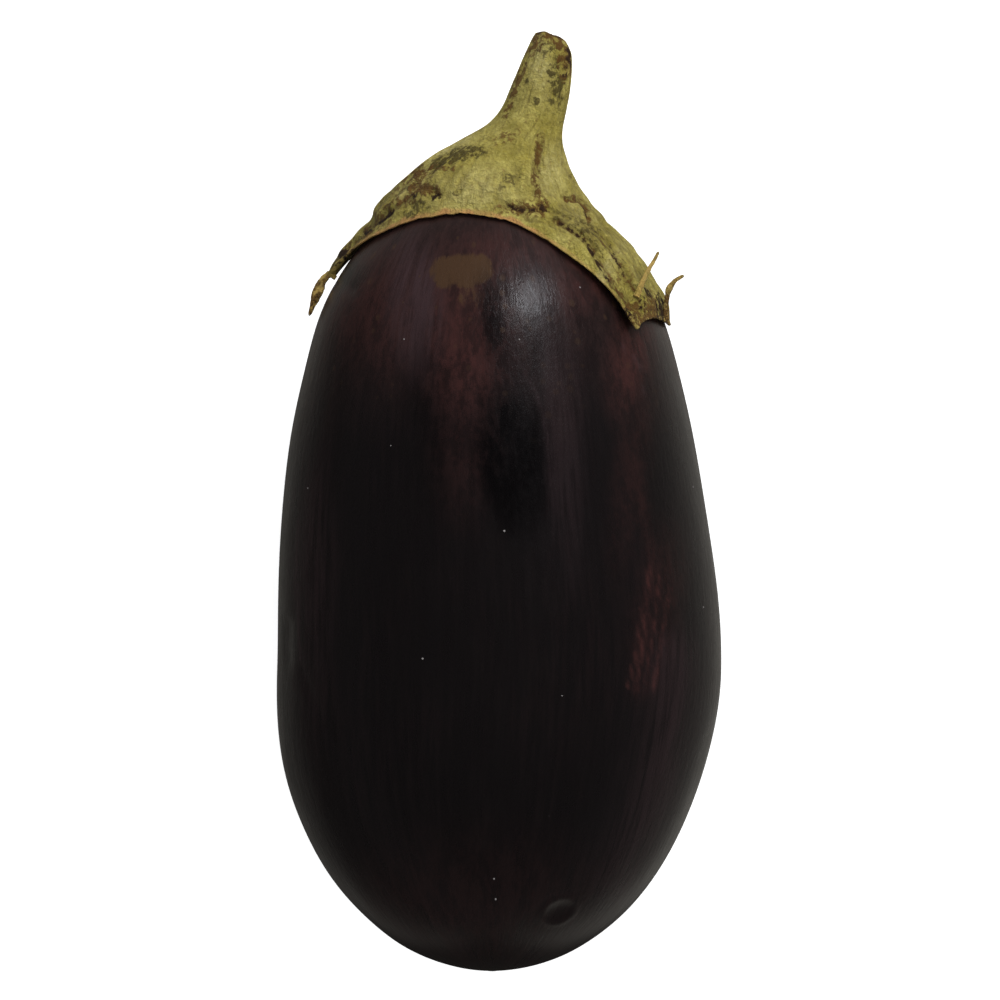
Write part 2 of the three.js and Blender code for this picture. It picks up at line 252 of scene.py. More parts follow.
def gridMesh(name, grid, masks, way):
    # a closed skin of four-sided faces on rows round the axis, whose first and last rows are one point each
    rows, columns = grid.shape[:2]

    def flat(values):
        # the first pole, then the rows between, then the last pole
        ends = [values[:1].mean(axis=1), values[1:-1].reshape(-1, *values.shape[2:]), values[-1:].mean(axis=1)]
        return np.concatenate(ends)

    places = toFrame(flat(grid))
    places[:, 2] = np.maximum(places[:, 2], 0)  # the flat spot
    index = 1 + np.arange((rows - 2) * columns).reshape(rows - 2, columns)
    beside = np.roll(index, -1, axis=1)
    last = len(places) - 1
    quads = np.stack([index[:-1], index[1:], beside[1:], beside[:-1]], axis=-1).reshape(-1, 4)
    first = np.stack([0 * index[0], index[0], beside[0]], axis=-1)
    end = np.stack([index[-1], 0 * index[-1] + last, beside[-1]], axis=-1)
    corners = np.concatenate([quads.ravel(), first.ravel(), end.ravel()])
    sizes = np.concatenate([np.full(len(quads), 4), np.full(2 * columns, 3)])
    mesh = bpy.data.meshes.new(name)
    mesh.vertices.add(len(places))
    mesh.vertices.foreach_set("co", places.ravel())
    mesh.loops.add(len(corners))
    mesh.loops.foreach_set("vertex_index", corners.astype(np.int32))
    mesh.polygons.add(len(sizes))
    mesh.polygons.foreach_set("loop_start", np.concatenate([[0], np.cumsum(sizes)[:-1]]).astype(np.int32))
    mesh.polygons.foreach_set("use_smooth", np.ones(len(sizes), bool))
    mesh.update(calc_edges=True)
    mesh.validate()
    for label, values in masks.items():
        mesh.attributes.new(label, "FLOAT", "POINT").data.foreach_set("value", flat(values).astype(np.float32))
    wayData = mesh.attributes.new("grainWay", "FLOAT_VECTOR", "POINT").data
    wayData.foreach_set("vector", flat(way).astype(np.float32).ravel())
    return newObject(name, mesh)


# Marks on the upper side of the fruit: right, height, half width, half height, turn, softness, strength
skinMarks = {
    "russet": [
        (-6.4, 70, 7.5, 15, 4, 0.8, 0.95), (-5.6, 50, 6, 14, -2, 0.8, 0.35), (21.5, 85, 5.5, 10, -40, 0.6, 0.8),
        (29.4, 68, 4, 11, -10, 0.8, 0.85), (29.5, 44, 3.2, 18, -8, 0.9, 0.26), (-24, 76, 9, 12, 25, 0.9, 0.5),
        (34.8, 14, 4.6, 14, -10, 0.8, 0.3), (2, 88, 10, 5, 0, 0.7, 0.5), (-2, -48, 22, 12, 0, 0.9, 0.22),
    ],
    # pinkish bloom, partly painted sheen: the grey band right of the highlight and a band along the left side
    "hazeAndPaintedSheen": [
        (-16.2, 78.5, 5, 13, 5, 0.7, 0.8), (14.5, 50, 4.2, 25, 3, 0.6, 0.22), (-38, 20, 4, 26, 0, 0.9, 0.25),
    ],
    "bruise": [
        (-9.4, 84.4, 3.6, 3.6, 10, 0.3, 1), (-5.6, 84.6, 4.2, 3.9, 0, 0.3, 1), (-2.6, 85, 2.8, 3.2, -12, 0.3, 1),
        (-4.8, 78.8, 3.6, 2.6, 0, 0.7, 0.55),
    ],
    # painted dark reflection on the middle and upper right of the skin, and the painted shadow of the left lobe on the
    # skin
    "paintedDarkReflectionAndShadow": [
        (4.4, 45, 7.4, 16, 6, 0.35, 1), (-13, 52, 4, 18, 3, 0.8, 0.4), (0, 73, 2.6, 9, 8, 0.7, 0.8),
        (26, 77, 7, 10, -30, 0.8, 0.5), (19.4, 84, 3, 6, -20, 0.8, 0.4), (-32.4, 85.2, 3.4, 4.2, 30, 0.6, 1),
    ],
}
# Lines on it: strength, half width, and the points, as right and height
skinLines = {
    "russet": [
        (1, 0.5, (33, 22), (31.8, 8), (30.2, -4)), (1, 0.55, (37.4, 18), (35.6, 6), (34, -3)),
        (0.9, 0.35, (35.2, 20), (33.8, 8), (32.2, -2)), (0.8, 0.3, (31.4, 14), (30, 3), (28.4, -3)),
        (0.2, 2.6, (34.4, 18), (32.8, 5), (31.6, -3)), (0.8, 1, (12.5, 94.6), (19, 90.4), (25, 84.6), (29.6, 77.6)),
        (0.3, 1.6, (34, 22), (31.4, 36), (29.5, 50)),
    ],
    # painted sheen along the lower right side
    "hazeAndPaintedSheen": [
        (0.34, 5, (38.5, 4), (38, -12), (34, -28), (26, -44)),
    ],
    # scuffs, partly painted sheen: the bright edge of the dark reflection and a sheen line down the left side
    "scuffsAndPaintedSheen": [
        (0.35, 0.3, (10.9, -47.6), (12.6, -46.2), (15.4, -46.1)), (0.3, 0.3, (17.6, -51.6), (16.2, -53.4)),
        (0.7, 0.35, (-41.4, 32), (-41.6, 20), (-41.2, 10), (-40.6, 2.6)),
        (0.5, 0.4, (-33, 82.8), (-31.6, 82.2), (-30.1, 81.1)),
        (0.45, 0.35, (4, 68.4), (9.6, 58), (11.7, 49.3), (12.3, 34.3)), (0.8, 0.6, (30.2, 66.6), (31.4, 64.2)),
        (0.7, 0.4, (27.6, 69.4), (28.2, 67.8)), (0.6, 0.4, (32, 60.4), (32.2, 58.6)),
    ],
    "dent": [
        (1, 1.3, (-43.6, 10), (-43.9, 6), (-43.9, 2)), (0.45, 1.1, (-40.4, 0.4), (-38.6, -4), (-36.4, -9.2)),
        (0.6, 1, (-34.4, -12.5), (-34, -13.6)), (0.5, 1.2, (-33, 82.8), (-30.1, 81.1)),
    ],
}


def buildFruit():
    # rows from the stem's end to the blossom's; dents, the scar's dish and ring, and a waver are square to the skin
    shape = fruit
    angle = np.linspace(0, 2 * math.pi, shape["columns"], endpoint=False)[None, :]
    share = np.linspace(0, 1, shape["rows"])[:, None]
    split = shape["equatorShare"]
    turn = np.where(share < split, share / split, 1 + (share - split) / (1 - split)) * math.pi / 2
    stemward = turn < math.pi / 2
    reach = np.where(stemward, shape["stemSide"], -shape["blossomSide"])
    power = np.where(stemward, shape["stemPower"], shape["blossomPower"])
    height = reach * np.abs(np.cos(turn)) ** (2 / power) + 0 * angle
    radius = shape["halfWidth"] * np.abs(np.sin(turn)) ** (2 / power) * fullness(height) * lobing(angle)
    grid = aroundFruit(height, angle, radius)
    outward = outwardOf(grid)
    shown = smoothStep(grid[..., 2], *shape["markFade"])
    masks = marksOn(grid[..., 0], height, shown, skinMarks, skinLines)
    scarPoint = aroundFruit(shape["scarHeight"], math.radians(shape["scarAngle"]), fruitRadius(shape["scarHeight"]))
    away = np.linalg.norm(grid - scarPoint, axis=-1) / shape["scarRadius"]
    masks["scar"] = 1 - smoothStep(away, *shape["scarEdge"])
    ring = shape["scarRing"]
    dish = ring[0] * bell(away, *ring[1:]) - shape["scarDepth"] * (1 - np.minimum(away, 1) ** 2)
    waver = shape["waver"] * (rough(grid, "waver") - shape["waverSink"])
    relief = waver + dish - shape["dentDepth"] * masks.pop("dent")
    relief = relief * smoothStep(share, *shape["stemFade"]) * (1 - smoothStep(share, *shape["blossomFade"]))
    way = grainAt(angle, height)
    masks["shoulder"] = smoothStep(height + shape["paleRagged"] * rough(way, "shoulder"), *shape["paleShoulder"])
    return gridMesh("eggplant_fruit", grid + outward * relief[..., None], masks, way)


# The stem and its flare: height, radius, and how far the centre leans right and up
stemStations = np.array([
    (84, 27.2, -0.7, 0), (92, 26.2, -0.8, 0), (96.5, 24.9, -1.2, 0), (99.9, 22.6, -1.8, 0), (103.4, 19.6, -1.3, 0),
    (106.8, 16.7, -0.3, 0.1), (110.2, 13.7, 1.5, 0.2), (113.7, 10.2, 4.5, 0.4), (117.1, 7.6, 7.4, 0.6),
    (120.5, 6.6, 9.1, 0.8), (125.7, 5.9, 10.6, 1.1), (130.8, 4.9, 11.8, 1.4), (134.2, 3.9, 12.4, 1.6),
    (136.6, 2.85, 12.6, 1.7),
])
# The rim: angle round the fruit from straight up to the right, height, and how far it stands off the skin
rimStations = np.array([
    (-92, 84.2, 1.9), (-80, 89.6, 0.5), (-57, 93.6, 0.1), (-38, 96.1, 0), (-15, 97.1, 0), (8, 95.6, 0),
    (22, 92.4, 0.1), (34, 87.3, 0.4), (42, 82.4, 0.8), (46, 78.6, 1), (49, 74.6, 1), (51.5, 72.5, 0.9),
    (55, 73.9, 0.7), (60, 74.9, 0.5), (70, 75.2, 0.2), (78, 74.4, 0), (85, 73.9, 0), (93, 76.2, 0), (102, 80.6, 0.1),
    (114, 86.2, 0.1), (127, 91.2, 0), (141, 88.8, 0), (150, 81.6, 0.4), (157, 75.3, 0.9), (164, 80.8, 0.5),
    (173, 88.4, 0), (186, 91.6, 0), (198, 87.2, 0.1), (206, 79.8, 0.5), (212, 76.2, 0.8), (219, 80.9, 0.6),
    (229, 88.2, 0.1), (242, 91.4, 0.2), (256, 88.9, 0.5),
])
roundRim = np.concatenate([rimStations[-2:] - [360, 0, 0], rimStations, rimStations[:2] + [360, 0, 0]])
# A rib runs down each lobe: its angle at the rim and at the stem, and its height
ribs = [(-92, -70, 0.3), (57.5, 20, 1), (87, 88, 0.2), (157, 152, 0.8), (212, 218, 0.8)]

# Marks on the calyx as it is seen from above, as on the skin, and the lines and grooves in it
calyxMarks = {
    "greening": [
        (-11.3, 107.9, 2.6, 1.3, 40, 0.6, 1), (-7.4, 109.6, 3.2, 1.6, 20, 0.6, 1),
        (-3.6, 110.2, 2.2, 1.2, 0, 0.6, 0.9), (-16, 106.2, 1.8, 1, 45, 0.6, 0.9),
        (13.4, 125.8, 1.7, 4.8, 0, 0.9, 0.8), (12.8, 133.6, 3, 3, 0, 0.9, 0.55), (-7.6, 101.6, 0.8, 0.7, 0, 0.6, 0.9),
        (-16, 98.5, 3.5, 1.6, 30, 0.9, 0.6), (20, 93, 2.2, 6, 48, 0.8, 0.4), (9.3, 121.6, 0.6, 0.7, 0, 0.9, 0.9),
        (11.9, 127.8, 0.5, 0.6, 0, 0.9, 0.9), (7.4, 125.9, 0.5, 0.5, 0, 0.9, 0.8), (3, 104, 3, 2.4, 20, 0.8, 0.4),
    ],
    "browning": [
        (33.6, 76.8, 2.2, 3.4, -8, 0.6, 1), (30.2, 76.4, 2.2, 2.6, -30, 0.7, 0.85), (30.6, 75, 2.6, 2, 0, 0.6, 1),
        (37.6, 77.4, 2.2, 4.6, -10, 0.6, 0.8), (-14.6, 102.4, 3.8, 1.7, -22, 0.7, 1),
        (-15.6, 105.8, 2.2, 1, 35, 0.8, 0.9), (-21.4, 99.8, 1.8, 0.8, 20, 0.7, 0.8),
        (-33, 88.5, 3.6, 4.6, 35, 0.8, 1), (-17, 103.6, 5, 3.6, 45, 0.9, 0.45), (-24, 96.4, 4.6, 2.4, 40, 0.9, 0.45),
        (10.2, 98.3, 1.6, 2, 0, 0.6, 1), (6.9, 98, 5.5, 1.7, 3, 0.7, 0.75), (3, 113.6, 3.4, 1.6, 30, 0.9, 0.4),
        (12.6, 136.6, 4.6, 2.4, -12, 0.5, 1), (15.6, 130.6, 1.7, 4.2, 0, 0.6, 1), (14.8, 134.4, 1.5, 3, 0, 0.7, 0.8),
        (5.2, 124.5, 0.8, 8, -20, 0.6, 0.7), (9.6, 134.4, 1.4, 3, -20, 0.7, 0.85), (27, 82, 3, 6, -35, 0.9, 0.3),
    ],
    "paling": [
        (-8, 113, 6, 1.8, 32, 0.8, 0.7), (10.4, 129, 2, 6, 4, 0.8, 0.5), (19, 97, 4, 5, -30, 0.9, 0.3),
        (-4, 102, 8, 4, 0, 0.9, 0.35), (15.4, 136.6, 1.2, 1.6, 0, 0.6, 0.8), (24, 84.4, 1.4, 7, -32, 0.8, 0.5),
        (-19.4, 101.6, 1.8, 1, 40, 0.8, 0.6), (12, 106, 3, 5, -10, 0.9, 0.4),
    ],
    # dark scars, with painted shade on the left lobe's underside and at the shaded right edge of a lobe
    "scarsAndPaintedShade": [
        (-34.4, 86.4, 5.2, 2, 42, 0.5, 1), (35.8, 77, 0.9, 3.4, 8, 0.6, 1), (32.8, 80.8, 0.5, 1.5, 35, 0.6, 0.9),
        (28.8, 75.6, 1.5, 0.9, -40, 0.6, 0.9), (31.6, 77.6, 0.6, 1.9, -10, 0.6, 0.8),
        (16.4, 131.8, 0.9, 2.6, 0, 0.6, 0.8), (9.9, 137.4, 1.1, 1.2, 0, 0.6, 0.9),
        (15.2, 128.4, 0.8, 1.4, 0, 0.6, 0.7), (-12.2, 100.8, 1.3, 0.8, -10, 0.7, 0.8),
        (-16.4, 101.2, 1.3, 0.7, 10, 0.7, 0.8), (10.4, 98.4, 0.8, 1.1, 0, 0.6, 0.6),
    ],
}
calyxLines = {
    "browning": [
        (0.95, 0.8, (10.1, 113.7), (9.2, 108), (9.1, 103), (10.2, 99.7)),
        (1, 0.8, (15.8, 100.4), (18.3, 100.4), (19.8, 98.6), (20.3, 96.4)),
        (0.9, 0.7, (-27.6, 93.7), (-24.1, 96.1), (-21.3, 98.2), (-18.8, 100.1), (-17.3, 101.4)),
        (0.7, 0.5, (-31.6, 89.6), (-28.6, 91.8), (-25.8, 93.9)),
        (0.85, 0.5, (-16.6, 106.6), (-13.4, 107.1), (-8.2, 106.6)),
        (0.6, 0.6, (13.6, 95.6), (19.8, 91.8), (23.5, 85.3), (27.8, 79.4)),
        (0.6, 0.6, (23.1, 92.4), (26.7, 87), (30.1, 81.2)),
    ],
    # dark lines along the grooves, partly painted shade in them
    "scarsAndPaintedShade": [
        (0.9, 0.5, (-27.6, 93.4), (-24.1, 95.8), (-21.3, 97.8)), (0.9, 0.8, (9.6, 137.6), (10.4, 136)),
        (0.6, 0.45, (3, 98.6), (7, 97.6), (12, 97.8)), (0.6, 0.4, (18.2, 100.1), (19.5, 98.6), (20, 97)),
        (0.7, 0.4, (14.4, 95.2), (16.6, 93.9), (19.8, 91.5), (21.6, 88.5)),
        (0.75, 0.45, (21.8, 88.2), (23.5, 85), (24.4, 83.2)), (0.6, 0.4, (25.2, 90), (26.7, 86.8), (28.4, 83.6)),
    ],
    # grooves cut into the leaf and darkened with painted shade
    "grooveAndPaintedShade": [
        (1, 0.8, (13.4, 95.6), (16.6, 93.9), (19.8, 91.6), (21.6, 88.6), (23.5, 85.1), (25.6, 81.5), (27.8, 79.2),
         (29.4, 77)),
        (0.9, 0.75, (20.5, 94.8), (23.1, 92.2), (25.2, 90.1), (26.7, 86.9), (28.4, 83.6), (30.1, 81.1)),
        (0.9, 0.7, (-27.6, 93.7), (-24.1, 96.1), (-21.3, 98.2), (-18.8, 100.1), (-16.8, 101.8)),
        (0.7, 0.6, (-31.6, 89.6), (-25.8, 93.9)), (0.6, 0.6, (3, 98.6), (7, 97.6), (12, 97.8)),
        (0.6, 0.7, (10.1, 113.7), (9.1, 103)), (0.5, 0.5, (-26, 91.8), (-20, 95), (-14, 97)),
        (0.5, 0.6, (-22.6, 100), (-19.6, 102), (-16, 104)), (0.6, 0.6, (14.6, 98.9), (17, 97.7), (19.6, 97.2)),
        (0.6, 0.5, (13, 97.4), (16.4, 96.2), (19.4, 95.4)), (0.5, 0.5, (17.4, 95.2), (20, 93.6), (22.6, 91)),
        (0.5, 0.5, (7, 95.6), (11, 95.2), (15, 93)), (0.5, 0.5, (23, 96), (25.4, 93), (27.6, 89.4)),
        (0.5, 0.5, (26, 79.6), (28, 76.6)), (0.5, 0.45, (30.4, 86), (32.5, 81.6), (33.6, 78)),
        (0.8, 0.6, (15.8, 100.4), (18.3, 100.4), (19.8, 98.6), (20.3, 96.4)), (0.5, 0.6, (15, 108), (18, 103.6)),
        (0.7, 0.5, (-16.6, 102.4), (-13, 102.8), (-11, 100.9)), (0.6, 0.5, (-15, 106.4), (-11.6, 107.6)),
    ],
}


def calyxSkin(angle, height, rim, lift):
    # the leaf: fruit radius + gap + lift + thickness, blended into the stem's flare where that is wider, with the
    # ribs and puckers added; right, height and up of each point
    shape = calyx
    inland = height - rim
    raised = lift * np.exp(-inland / shape["liftFade"])
    skin = np.where(height < fruit["stemSide"], fruitRadius(np.minimum(height, fruit["stemSide"])) * lobing(angle), 0)
    slant = np.sqrt(np.maximum(1 - (skin / fruit["halfWidth"]) ** 2, 0.3))
    thickness = blend(shape["rimThickness"], shape["leafThickness"], smoothStep(inland, 0, shape["thickeningLength"]))
    leaf = skin + shape["gap"] + raised + thickness * (1 + shape["slantThickening"] * slant)
    flare = along(stemStations, 1, height)
    soft = shape["flareSoftness"]
    share = smoothStep(flare - leaf, -soft, soft) * smoothStep(inland, *shape["flareStart"])
    radius = blend(leaf, np.maximum(flare, leaf - 0.2), share)
    side = blend(fruitSide(height), along(stemStations, 2, height), smoothStep(height, *shape["leanStart"]))
    relief = calyxRelief(angle, height) * smoothStep(inland, 0, shape["reliefStart"])
    ridges = np.cos(shape["stemRidgeCount"] * angle + 0.6) * smoothStep(height, *shape["stemRidgeStart"])
    full = (radius + relief) * (1 + shape["stemRidge"] * ridges)
    depthShare = blend(fruit["depthShare"], 1, smoothStep(height, *shape["roundStart"]))
    right = side + full * np.sin(angle)
    up = along(stemStations, 3, height) + depthShare * full * np.cos(angle)
    return pointsOf(right, height, up)


def calyxRelief(angle, height):
    # for each rib a ridge between two grooves: high * (1 - 2 s) * e to the power of -s, s = (distance / width)
    # squared; and puckers: a product of two sines over the lower leaf
    shape = calyx
    up = smoothStep(height, *shape["ribTurn"])
    relief = 0
    for tip, root, high in ribs:
        middle = np.radians(tip + (root - tip) * up)
        away = np.arctan2(np.sin(angle - middle), np.cos(angle - middle))
        away = away * fruitRadius(np.minimum(height, shape["ribWidest"]))
        share = (away / np.clip((height - 70) / 4, *shape["ribWidth"])) ** 2
        relief = relief + high * (1 - 2 * share) * np.exp(-share) * (1 - smoothStep(height, *shape["ribEnd"]))
    puckered = smoothStep(height, *shape["puckerStart"]) * (1 - smoothStep(height, *shape["puckerEnd"]))
    puckers = np.sin(11 * angle + 0.35 * height) * np.sin(0.9 * height + 3 * angle)
    return relief + shape["puckerHeight"] * puckers * puckered


def calyxLining(angle, height, rim, lift):
    # the fruit's skin, moved off square to it by the gap and the lift, which the dry fold of the left lobe fills
    shape = calyx
    low = np.minimum(height, fruit["stemSide"] - 0.1)
    slope = (fruitRadius(low - 0.05) - fruitRadius(low + 0.05)) / 0.1
    outward = unit(pointsOf(np.sin(angle), slope, np.cos(angle)))
    fromFold = (np.degrees(angle) - shape["closedAngle"] + 180) % 360 - 180
    opened = 1 - shape["closedShare"] * bell(fromFold, 0, shape["closedSpread"])
    off = shape["gap"] + opened * lift * np.exp(-(height - rim) / shape["liftFade"])
    return aroundFruit(height, angle, fruitRadius(height) * lobing(angle)) + outward * off[..., None]


def fineRelief(way, inland, height, grooves):
    # fibres + wrinkles - grooves - creases, less at the thin rim and on the slender stem; and a mask of painted shade
    # for the hollows, in the creases and low wrinkles. A crease runs where drawn-out noise crosses zero, with gaps
    shape = calyx
    wrinkles = rough(way, "wrinkles")
    bent = way + shape["creaseBend"] * rough(way, "bend")[..., None]
    creased = bell(rough(bent, "creases"), 0, shape["creaseWidth"])
    creased = creased * smoothStep(rough(way, "gaps"), -shape["creaseGaps"], shape["creaseGaps"])
    creased = creased * smoothStep(inland, *shape["creaseStart"]) * (1 - smoothStep(height, *shape["creaseEnd"]))
    strength = smoothStep(inland, *shape["fineStart"]) * (1 - 0.85 * smoothStep(height, *shape["fineEnd"]))
    fine = shape["fibreHeight"] * rough(way, "fibres") + shape["wrinkleHeight"] * (wrinkles - 0.1)
    fine = fine * (1 - 0.55 * smoothStep(height, *shape["slimStart"]))
    fine = fine - shape["grooveDepth"] * grooves - shape["creaseDepth"] * creased
    fine = np.maximum(fine + shape["fineRaise"], shape["fineDeepest"]) * strength
    return fine, np.clip(0.45 * creased + 0.7 * np.clip(-wrinkles - 0.4, 0, 1) * strength, 0, 1)


def cutRings(top):
    # rings that shrink from the stem's end to its middle, sunk a little by noise towards the middle
    shape = calyx
    shares = (np.arange(shape["cutRows"]) / shape["cutRows"])[:, None, None] * shape["cutInset"]
    rings = blend(top.mean(axis=1, keepdims=True), top, shares)
    sunk = shape["cutSink"] + shape["cutRoughness"] * rough(rings, "cut")
    rings[..., 1] += (shape["cutDrop"] - sunk) * (1 - shares[..., 0] ** 4)
    return rings


def buildCalyx():
    # rows go from the middle of the cut, down the stem and the lobes to the rim, and back up the lining
    shape = calyx
    edges = np.append(rimStations[:, 0], rimStations[0, 0] + 360)
    steps = np.arange(shape["columnsPerStation"]) / shape["columnsPerStation"]
    degrees = (edges[:-1, None] + np.diff(edges)[:, None] * steps).ravel()[None, :]
    angle = np.radians(degrees)
    rim = along(roundRim, 1, degrees) + shape["rimWaver"] * rough(grainAt(angle, 0), "rim")
    lift = np.maximum(along(roundRim, 2, degrees), 0.0)
    stemTop = shape["cutHeight"] - shape["cutDrop"]
    stem = np.linspace(stemTop, shape["lobedHeight"], shape["stemRows"])[:, None] + 0 * angle
    share = np.linspace(0, 1, shape["lobeRows"] + 1)[1:, None]
    height = np.concatenate([stem, blend(shape["lobedHeight"], rim, share)])
    inland = height - rim
    skin = calyxSkin(angle, height, rim, lift)
    outward = outwardOf(skin)
    right = skin[..., 0]
    masks = marksOn(right, height, smoothStep(outward[..., 2], *shape["markFade"]), calyxMarks, calyxLines)
    way = grainAt(angle, height)
    fine, masks["paintedHollowShade"] = fineRelief(way, inland, height, masks["grooveAndPaintedShade"])
    skin = skin + outward * fine[..., None]
    # the cut slants down to the right, with a spike at its left
    slanted = smoothStep(skin[..., 1], shape["cutHeight"] - shape["slantLength"], shape["cutHeight"])
    skin[..., 1] -= shape["cutSlope"] * (skin[..., 0] - along(stemStations, 2, skin[..., 1])) * slanted
    skin[..., 1] += shape["spikeHeight"] * bell(skin[..., 0], shape["spikeSide"], shape["spikeWidth"]) * slanted
    # the lining runs from the rim to the fruit's end, and the edge lies between it and the skin
    turns = np.arccos((np.clip(rim / fruit["stemSide"], 0, 1)) ** (fruit["stemPower"] / 2))
    inward = 1 - np.linspace(0, 1, shape["liningRows"])[:, None]
    linedHeight = fruit["stemSide"] * np.cos(turns * inward) ** (2 / fruit["stemPower"])
    lining = calyxLining(angle, linedHeight, rim, lift)
    lining[-1] = lining[-1].mean(axis=0)
    edge = (skin[-1:] + lining[:1]) / 2
    edge[..., 1] -= shape["rimDrop"]
    grid = np.concatenate([cutRings(skin[:1]), skin, edge, lining])
    # the tan margin, and how creased the leaf is: most at the lobes on both sides
    margin = 1 - smoothStep(inland + shape["marginRagged"] * rough(way, "margin"), *shape["marginWidth"])
    masks["margin"] = margin * blend(0.4, 1, smoothStep(rim, *shape["marginFade"]))
    sideways = smoothStep(np.abs(right - 4), 9, 22)
    masks["dried"] = blend(0.25, 1, sideways) * smoothStep(inland, 0.6, 2.5) * (1 - smoothStep(height, 100, 108))
    masks["cut"] = 0 * right
    before, after = shape["cutRows"], 1 + shape["liningRows"]
    for label, values in masks.items():
        first = np.ones((before, values.shape[1])) if label == "cut" else np.repeat(values[:1], before, axis=0)
        masks[label] = np.concatenate([first, values, np.repeat(values[-1:], after, axis=0)])
    way = np.concatenate([np.repeat(way[:1], before, axis=0), way, np.repeat(grainAt(angle, 80), after, axis=0)])
    return gridMesh("calyx_and_stem_skin", grid, masks, way)


# The withered tips: points from where each leaves the rim, as right, height and up, the width at each point, and
# how brown each is at its root and its end
witheredTips = {
    "curled_tip": {
        "points": [(-33.6, 84, 0.4), (-35, 84.9, 0.3), (-36.6, 82.9, 0.4), (-38, 79.6, 0.8), (-39.3, 75.9, 1.2)],
        "widths": (1, 1.6, 2.4, 2, 0.5), "crinkle": 0.3, "brown": (0, 1),
    },
    "upper_thread": {
        "points": [(30.4, 79.4, 21.2), (31.8, 82.6, 19.2), (33.1, 85.2, 16.8), (34.3, 87.3, 15), (35.3, 89.2, 14.4)],
        "widths": (1.5, 1.3, 1, 0.8, 0.6), "crinkle": 0.12, "brown": (0.1, 0),
    },
    "lower_thread": {
        "points": [(36.9, 74.8, 7.8), (37, 77.6, 8.7), (37.5, 81.1, 9.4), (38.8, 83.1, 9.7), (40.8, 84.3, 9.6)],
        "widths": (1.5, 1.3, 1.3, 1.1, 0.7), "crinkle": 0.14, "brown": (1, 0.1),
    },
}
tipMesh = {"rows": 46, "columns": 28, "straightness": 0.35, "twist": 0.7, "flatness": 0.5, "leastThickness": 0.6}


def buildTip(name, shape, seed):
    # an oval carried along a curve through the points: its width follows the given ones, and the surface is
    # crinkled by noise; across = up cross ahead, and the oval turns a little along the way
    points = np.array(shape["points"], float)
    share = np.linspace(0, 1, len(points))
    stations = np.column_stack([share, points])
    at = np.linspace(0, 1, tipMesh["rows"])
    path = pointsOf(*(along(stations, k, at) for k in (1, 2, 3)))
    straight = pointsOf(*(np.interp(at, share, points[:, k]) for k in range(3)))
    path = blend(path, straight, tipMesh["straightness"])
    ahead = unit(np.gradient(path, axis=0))
    across = unit(np.cross([0, 0, 1.0], ahead))
    over = np.cross(ahead, across)
    angle = np.linspace(0, 2 * math.pi, tipMesh["columns"], endpoint=False)[None, :]
    width = np.interp(at, share, shape["widths"])[:, None] * np.sqrt(np.clip((1.004 - at) * 14, 0, 1))[:, None]
    thick = np.maximum(tipMesh["flatness"] * width, np.minimum(width, tipMesh["leastThickness"]))
    twist = tipMesh["twist"] * np.sin(5 * at)[:, None]
    x, y = width / 2 * np.cos(angle), thick / 2 * np.sin(angle)
    x, y = x * np.cos(twist) - y * np.sin(twist), x * np.sin(twist) + y * np.cos(twist)
    grid = path[:, None] + across[:, None] * x[..., None] + over[:, None] * y[..., None]
    crinkle = shape["crinkle"] * noise(grid, 1.1, seed, 2) * np.sin(np.pi * at)[:, None]
    grid = grid + unit(grid - path[:, None]) * crinkle[..., None]
    grid = np.concatenate([path[:1, None] + 0 * grid[:1], grid, path[-1:, None] + 0 * grid[:1]])
    at = np.concatenate([[0], at, [1]])[:, None] + 0 * angle
    masks = {label: 0 * at for label in ("greening", "paling", "grooveAndPaintedShade", "dried", "cut", "paintedHollowShade")}
    masks.update({"browning": blend(*shape["brown"], at), "scarsAndPaintedShade": 0.25 * at, "margin": 0 * at + 0.5})
    return gridMesh(name, grid[:, ::-1], masks, pointsOf(np.cos(angle), 30 * at, np.sin(angle)))


def shade(*screen):
    # a screen colour from 0 to 255, as the linear light that the shaders work in
    parts = (part / 255 for part in screen)
    return tuple(((p + 0.055) / 1.055) ** 2.4 if p > 0.04 else p / 12.92 for p in parts) + (1.0,)


def fill(tree, made, inputs):
    # a socket is linked to the input, and a value is set on it
    for key, value in inputs.items():
        if isinstance(value, bpy.types.NodeSocket):
            tree.links.new(value, made.inputs[key])
        else:
            made.inputs[key].default_value = value
    return made


def addNode(tree, kind, inputs=None, **settings):
    made = tree.nodes.new(kind)
    for key, value in settings.items():
        setattr(made, key, value)
    return fill(tree, made, inputs or {})


def calculate(tree, operation, first, second=0.0, clamp=False):
    return addNode(tree, "ShaderNodeMath", {0: first, 1: second}, operation=operation, use_clamp=clamp).outputs[0]


def times(tree, first, *others):
    # the product of all the values
    for other in others:
        first = calculate(tree, "MULTIPLY", first, other)
    return first


def weightedSum(tree, *terms):
    # the sum of value * weight
    total = times(tree, *terms[0])
    for value, weight in terms[1:]:
        total = calculate(tree, "ADD", total, times(tree, value, weight))
    return total


def blendColours(tree, share, first, second):
    inputs = {0: share, 6: first, 7: second}
    return addNode(tree, "ShaderNodeMix", inputs, data_type="RGBA", clamp_factor=True).outputs[2]


def rescale(tree, value, low, high, toLow=0.0, toHigh=1.0):
    # toLow below low, toHigh above high, and a smooth step between
    inputs = {"Value": value, "From Min": low, "From Max": high, "To Min": toLow, "To Max": toHigh}
    return addNode(tree, "ShaderNodeMapRange", inputs, interpolation_type="SMOOTHSTEP").outputs[0]


def read(tree, name, output="Fac"):
    return addNode(tree, "ShaderNodeAttribute", attribute_name=name).outputs[output]


def coordinates(tree, kind):
    return addNode(tree, "ShaderNodeSeparateXYZ", {0: addNode(tree, "ShaderNodeTexCoord").outputs[kind]}).outputs


